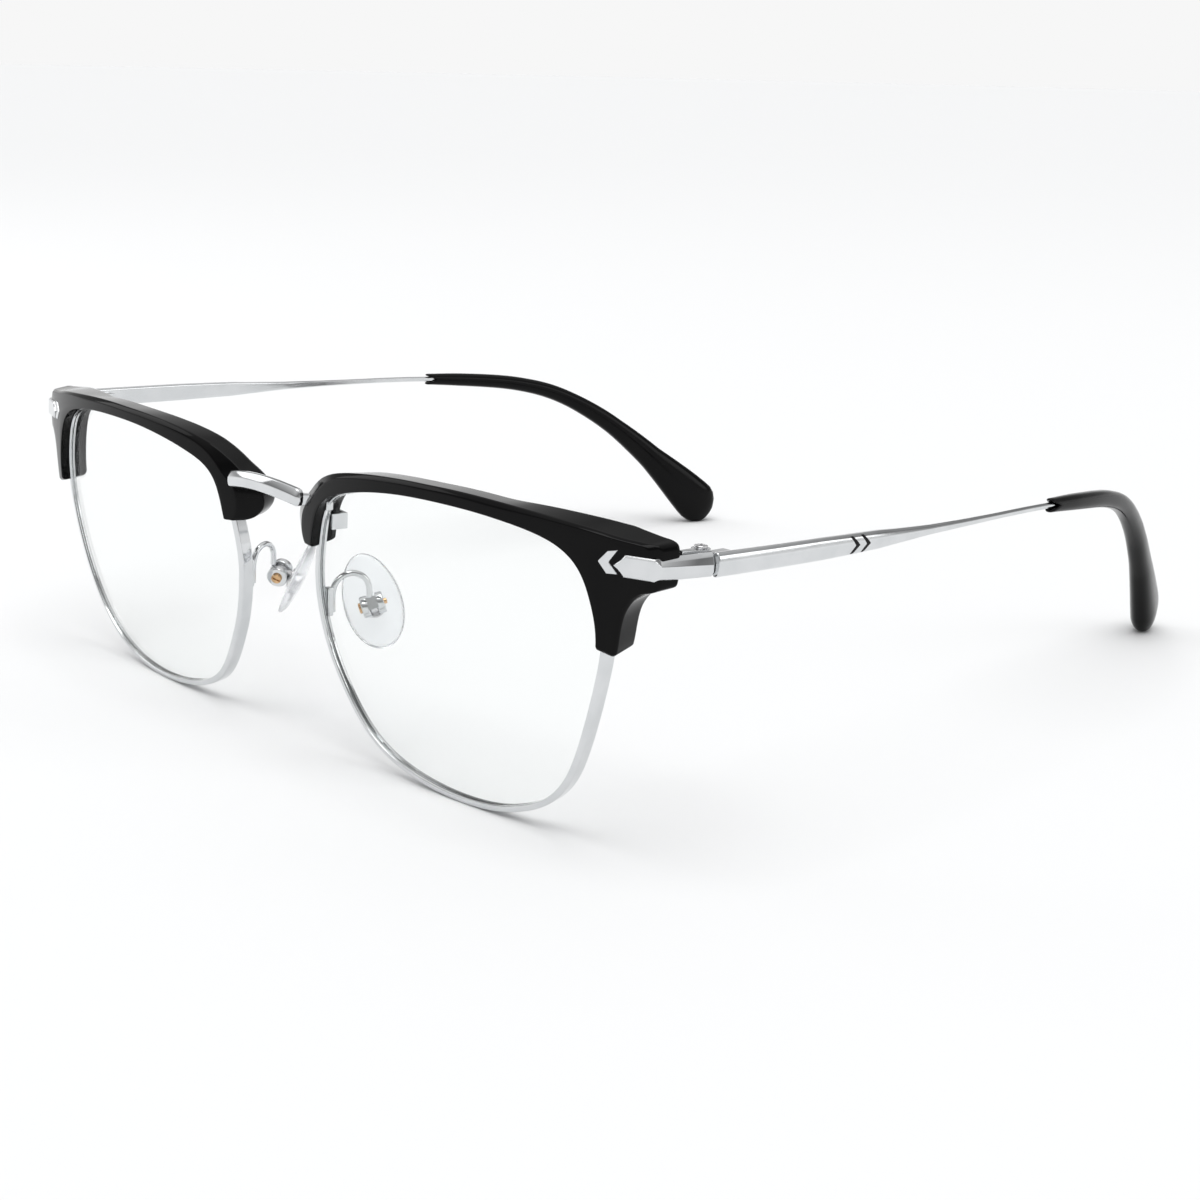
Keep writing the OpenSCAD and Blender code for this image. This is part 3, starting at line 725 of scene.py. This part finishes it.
for side in sides:
    buildEndpiece(side)
    buildTemple(side)
    buildEngraving(side)
    buildTip(side)
print("bridge, endpieces and temples ready")

# Nose pads

nosePad = {
    "place": (9.1, 9.45, -17), "splay": 54, "roll": -19, "pitch": -25,
    "width": 8.4, "length": 14, "back": -0.6, "dome": 1.95, "edge": 0.55, "belly": 0.52,
    "fullness": 0.8, "narrowing": 0.08, "fit": 0.97,
}
padFrame = (
    Matrix.Translation(nosePad["place"])
    @ Matrix.Rotation(math.radians(nosePad["splay"]), 4, "Z")
    @ Matrix.Rotation(math.radians(nosePad["roll"]), 4, "Y")
    @ Matrix.Rotation(math.radians(nosePad["pitch"]), 4, "X")
)
# Screw axis behind the pad, with Z along it
padAxisFrame = padFrame @ Matrix.Translation((0, -2.4, -1)) @ Matrix.Rotation(math.radians(90), 4, "Y")

padArm = {
    "wire": 0.42,
    "line": [
        (9.75, 2.1, -17.4), (9.7, 2.1, -14.6), (9.9, 2.8, -12.9), (10.4, 4.4, -12.1), (11, 5.9, -12.5),
        (11.4, 6.8, -13.7), (11.55, 6.95, -15.6),
    ],
    "plate": ((9.12, 1.02, -17.88), (10.28, 1.98, -13.82)),
    "barrelRadius": 1.55, "barrelLength": 3.2, "slot": 1.1,
}


def buildPadArm(side):
    steps = 8
    path = [pathPoint(padArm["line"], k / steps) for k in range((len(padArm["line"]) - 1) * steps + 1)]
    ring = circle(20)
    bm = tubeForm(path, [[padArm["wire"]] * 2] * len(path), lambda i: ring, (1, 0, 0))
    addForm(bm, block(*padArm["plate"], 0.2))
    cheek = (padArm["barrelLength"] - padArm["slot"]) / 2
    for start in (-padArm["barrelLength"] / 2, padArm["slot"] / 2):
        addForm(bm, roundBar(padArm["barrelRadius"], cheek, 0.18),
                padAxisFrame @ Matrix.Translation((0, 0, start)))
    web = padArm["slot"] / 2 + 0.2
    addForm(bm, block((-0.9, -1.5, -web), (0.9, -1.16, web), 0.03), padAxisFrame)
    makePiece("padArmWire_" + side, bm, sideFrame(side), polishedTitanium, "front",
              ["pad_arm_" + side], 35)


padInsert = {"plateRadius": 1.6, "plateBack": -0.78, "plateFront": -0.27, "lugRadius": 1.1, "lugWidth": 1.0}


def buildPadInsert(side):
    front, back = padInsert["plateFront"], padInsert["plateBack"]
    bm = roundBar(padInsert["plateRadius"], front - back, 0.2)
    faceFront = Matrix.Translation((0, back, -1)) @ Matrix.Rotation(math.radians(-90), 4, "X")
    bmesh.ops.transform(bm, matrix=faceFront, verts=bm.verts)
    half = padInsert["lugWidth"] / 2
    addForm(bm, block((-half, -2.4, -1.85), (half, back + 0.1, -0.15), 0.06))
    lug = roundBar(padInsert["lugRadius"], padInsert["lugWidth"], 0.08)
    addForm(bm, lug, Matrix.Translation((-half, -2.4, -1)) @ Matrix.Rotation(math.radians(90), 4, "Y"))
    makePiece("padInsert_" + side, bm, sideFrame(side) @ padFrame, steelScrew, "nose_pad_" + side,
              ["pad_insert_" + side], 35)


def buildNosePad(side):
    bm = bmesh.new()
    bmesh.ops.create_uvsphere(bm, u_segments=56, v_segments=28, radius=1)
    for vert in bm.verts:
        x, y, z = vert.co
        across = math.hypot(x, z)
        if across > 1e-6:  # fuller towards the rim than a plain ellipsoid
            grow = across ** nosePad["fullness"]
            x, z = x / across * grow, z / across * grow
        edge, fit = nosePad["edge"], nosePad["fit"]
        lift = edge + (nosePad["dome"] - edge) * y if y > 0 else edge + nosePad["belly"] * y
        narrow = 1 - nosePad["narrowing"] * z  # a little narrower at the top
        vert.co = (x * nosePad["width"] / 2 * narrow * fit, nosePad["back"] + lift * fit,
                   z * nosePad["length"] / 2)
    makePiece("nosePad_" + side, bm, sideFrame(side) @ padFrame, clearSilicone, "nose_pad_" + side,
              ["nose_pad_" + side], 60)


# Screws and hinges


# lengths and radii of the screws' shafts and heads
screws = {
    "slot": 0.28, "slotDepth": 0.45,
    "pad": {"shaftRadius": 0.4, "shaftLength": 3.6, "headRadius": 0.75, "headHeight": 0.4},
    "hinge": {"shaftRadius": 0.5, "shaftLength": 3.1, "headRadius": 0.85, "headHeight": 0.35},
    "hingeTop": 2.1, "hingeSlotTurn": 0.6, "padStart": -1.6,
}


def slottedHead(radius, height):  # a screw head along Z from 0, slotted on top
    bm = roundBar(radius, height, min(0.12, height * 0.35), 32)
    slot = screws["slot"]
    for edge in (-slot / 2, slot / 2):
        bmesh.ops.bisect_plane(bm, geom=bm.verts[:] + bm.edges[:] + bm.faces[:], plane_co=(edge, 0, 0),
                               plane_no=(1, 0, 0), dist=1e-5)
    strip = [f for f in bm.faces if f.normal.z > 0.9 and abs(f.calc_center_median().x) < slot / 2
             and f.calc_center_median().z > height * 0.9]
    grown = bmesh.ops.extrude_face_region(bm, geom=strip)
    moved = [g for g in grown["geom"] if isinstance(g, bmesh.types.BMVert)]
    bmesh.ops.delete(bm, geom=strip, context="FACES_ONLY")
    bmesh.ops.translate(bm, verts=moved, vec=(0, 0, -height * screws["slotDepth"]))
    return bm


def buildScrew(name, place, screw, material, replaced):
    bm = slottedHead(screw["headRadius"], screw["headHeight"])
    shaft = roundBar(screw["shaftRadius"], screw["shaftLength"], 0.05, 32)
    addForm(bm, shaft, Matrix.Translation((0, 0, -screw["shaftLength"])))
    makePiece(name, bm, place, material, "front", [replaced], 35)


def bevelledCopy(name, node, material, body, width, trim=None):  # a CAD part with its edges broken
    bm = bmesh.new()
    bm.from_mesh(frame["nodes"][node].data)
    bmesh.ops.remove_doubles(bm, verts=bm.verts, dist=2e-6)
    if trim:
        place, behind, top = trim
        bmesh.ops.transform(bm, matrix=place.inverted(), verts=bm.verts)
        for vert in bm.verts:
            if vert.co.y > behind:
                vert.co.z = min(vert.co.z, top)
        bmesh.ops.transform(bm, matrix=place, verts=bm.verts)
    bmesh.ops.dissolve_limit(bm, angle_limit=math.radians(1.5), verts=bm.verts, edges=bm.edges)
    bevelSharp(bm, width * mm, 2, 40)
    makePiece(name, bm, Matrix.Identity(4), material, body, [node], 35)


leafBevel = 0.08
for side in sides:
    buildPadArm(side)
    buildPadInsert(side)
    buildNosePad(side)
    padStart = Matrix.Translation((0, 0, screws["padStart"])) @ Matrix.Rotation(math.pi, 4, "X")
    buildScrew("padScrew_" + side, sideFrame(side) @ padAxisFrame @ padStart, screws["pad"],
               brassScrew, "pad_screw_" + side)
    hingeTop = (Matrix.Translation((hingeCentre.x, hingeCentre.y, screws["hingeTop"]))
                @ Matrix.Rotation(screws["hingeSlotTurn"], 4, "Z"))
    buildScrew("hingeScrew_" + side, sideFrame(side) @ hingeTop, screws["hinge"],
               steelScrew, "hinge_screw_" + side)
    bevelledCopy("hingeLeafFront_" + side, "hinge_front_" + side, polishedTitanium,
                 "front", leafBevel)
    # the rear leaf's plate stays below the top edge of the temple bar that hides it
    bevelledCopy("hingeLeafRear_" + side, "hinge_rear_" + side, polishedTitanium,
                 "temple_" + side, leafBevel, (sideFrame(side), hingeCentre.y + 1.3, 1.45))
    bevelledCopy("browTab_" + side, "brow_tab_" + side, polishedTitanium, "front", 0.22)
    bevelledCopy("browScrew_" + side, "brow_screw_" + side, steelScrew, "front", 0.06)

# Every part of the frame gets its material too; the rim locks are seen in their CAD shape
nodeMaterials = [
    ("rim_lock_screw", steelScrew), ("hinge_screw", steelScrew), ("brow_screw", steelScrew),
    ("pad_screw", brassScrew), ("pad_insert", steelScrew), ("nose_pad", clearSilicone), ("lens", clearLens),
    ("brow_tab", polishedTitanium), ("brow", blackAcetate), ("temple_tip", tipAcetate),
    ("temple", drawnTitanium), ("", polishedTitanium),
]
for nodeName, node in frame["nodes"].items():
    material = next(m for start, m in nodeMaterials if nodeName.startswith(start))
    node.data.materials.clear()
    node.data.materials.append(material)
print("nose pads, hinges and screws ready")

# Floor, light and camera

studio = {
    "floorRadius": 8, "floorColour": (0.82, 0.825, 0.83), "daylight": 1.55, "daylightSpread": 50,
    # brightness of the surroundings against height (the sine of the elevation)
    "surroundings": [(0.0, 0.93), (0.1, 0.93), (0.2, 0.42), (0.42, 0.2), (0.7, 0.75), (1.0, 0.95)],
    "camera": (217.32, -227.24, 96.07), "turn": (74.217, -1.268, 45.184), "lens": 58.11,
    # place and size in metres, power in watts
    "softboxes": {
        "keyLeft": ((-0.75, -0.35, 0.5), (0.5, 0.5), 1),
        "sideRight": ((0.7, 0.55, 0.35), (0.5, 0.3), 0.8),
    },
    "aim": (0, 0, 0.02),
}


def buildFloor():
    bm = bmesh.new()
    bmesh.ops.create_circle(bm, cap_ends=True, segments=96, radius=studio["floorRadius"])
    mesh = bpy.data.meshes.new("floor")
    bm.to_mesh(mesh)
    bm.free()
    floor = bpy.data.objects.new("floor", mesh)
    scene.collection.objects.link(floor)
    material, nodes, links, shader = newMaterial("Pale floor")
    shader.inputs["Base Color"].default_value = (*studio["floorColour"], 1)
    shader.inputs["Roughness"].default_value = 0.95
    shader.inputs["Specular IOR Level"].default_value = 0.05
    mesh.materials.append(material)


def buildSurroundings():  # bright at the horizon and overhead, darker between, so that metal shows its shape
    world = bpy.data.worlds.new("Studio")
    scene.world = world
    world.use_nodes = True
    nodes, links = world.node_tree.nodes, world.node_tree.links
    coords = nodes.new("ShaderNodeTexCoord")
    height = nodes.new("ShaderNodeSeparateXYZ")
    ramps = nodes.new("ShaderNodeValToRGB")
    elements = ramps.color_ramp.elements
    while len(elements) < len(studio["surroundings"]):
        elements.new(1)
    for element, (place, level) in zip(elements, studio["surroundings"]):
        element.position = place
        element.color = (level, level, level, 1)
    links.new(coords.outputs["Generated"], height.inputs["Vector"])
    links.new(height.outputs["Z"], ramps.inputs["Fac"])
    links.new(ramps.outputs["Color"], nodes["Background"].inputs["Color"])


def addSoftbox(name, place, size, power):
    lamp = bpy.data.lights.new(name, "AREA")
    lamp.shape = "RECTANGLE"
    lamp.size, lamp.size_y = size
    lamp.energy = power
    holder = bpy.data.objects.new(name, lamp)
    holder.location = place
    holder.rotation_euler = (Vector(studio["aim"]) - Vector(place)).to_track_quat("-Z", "Y").to_euler()
    scene.collection.objects.link(holder)


buildFloor()
buildSurroundings()
daylight = bpy.data.lights.new("daylight", "SUN")
daylight.energy = studio["daylight"]
daylight.angle = math.radians(studio["daylightSpread"])
daylightHolder = bpy.data.objects.new("daylight", daylight)
daylightHolder.rotation_euler = (math.radians(12), math.radians(8), 0)
scene.collection.objects.link(daylightHolder)
for name, (place, size, power) in studio["softboxes"].items():
    addSoftbox(name, place, size, power)

camera = bpy.data.cameras.new("Camera")
camera.lens = studio["lens"]
camera.sensor_width = 36
camera.clip_start = 0.01
holder = bpy.data.objects.new("Camera", camera)
holder.location = Vector(studio["camera"]) * mm
holder.rotation_euler = [math.radians(a) for a in studio["turn"]]
scene.collection.objects.link(holder)
scene.camera = holder
scene.view_settings.view_transform = "Standard"
print("studio ready")
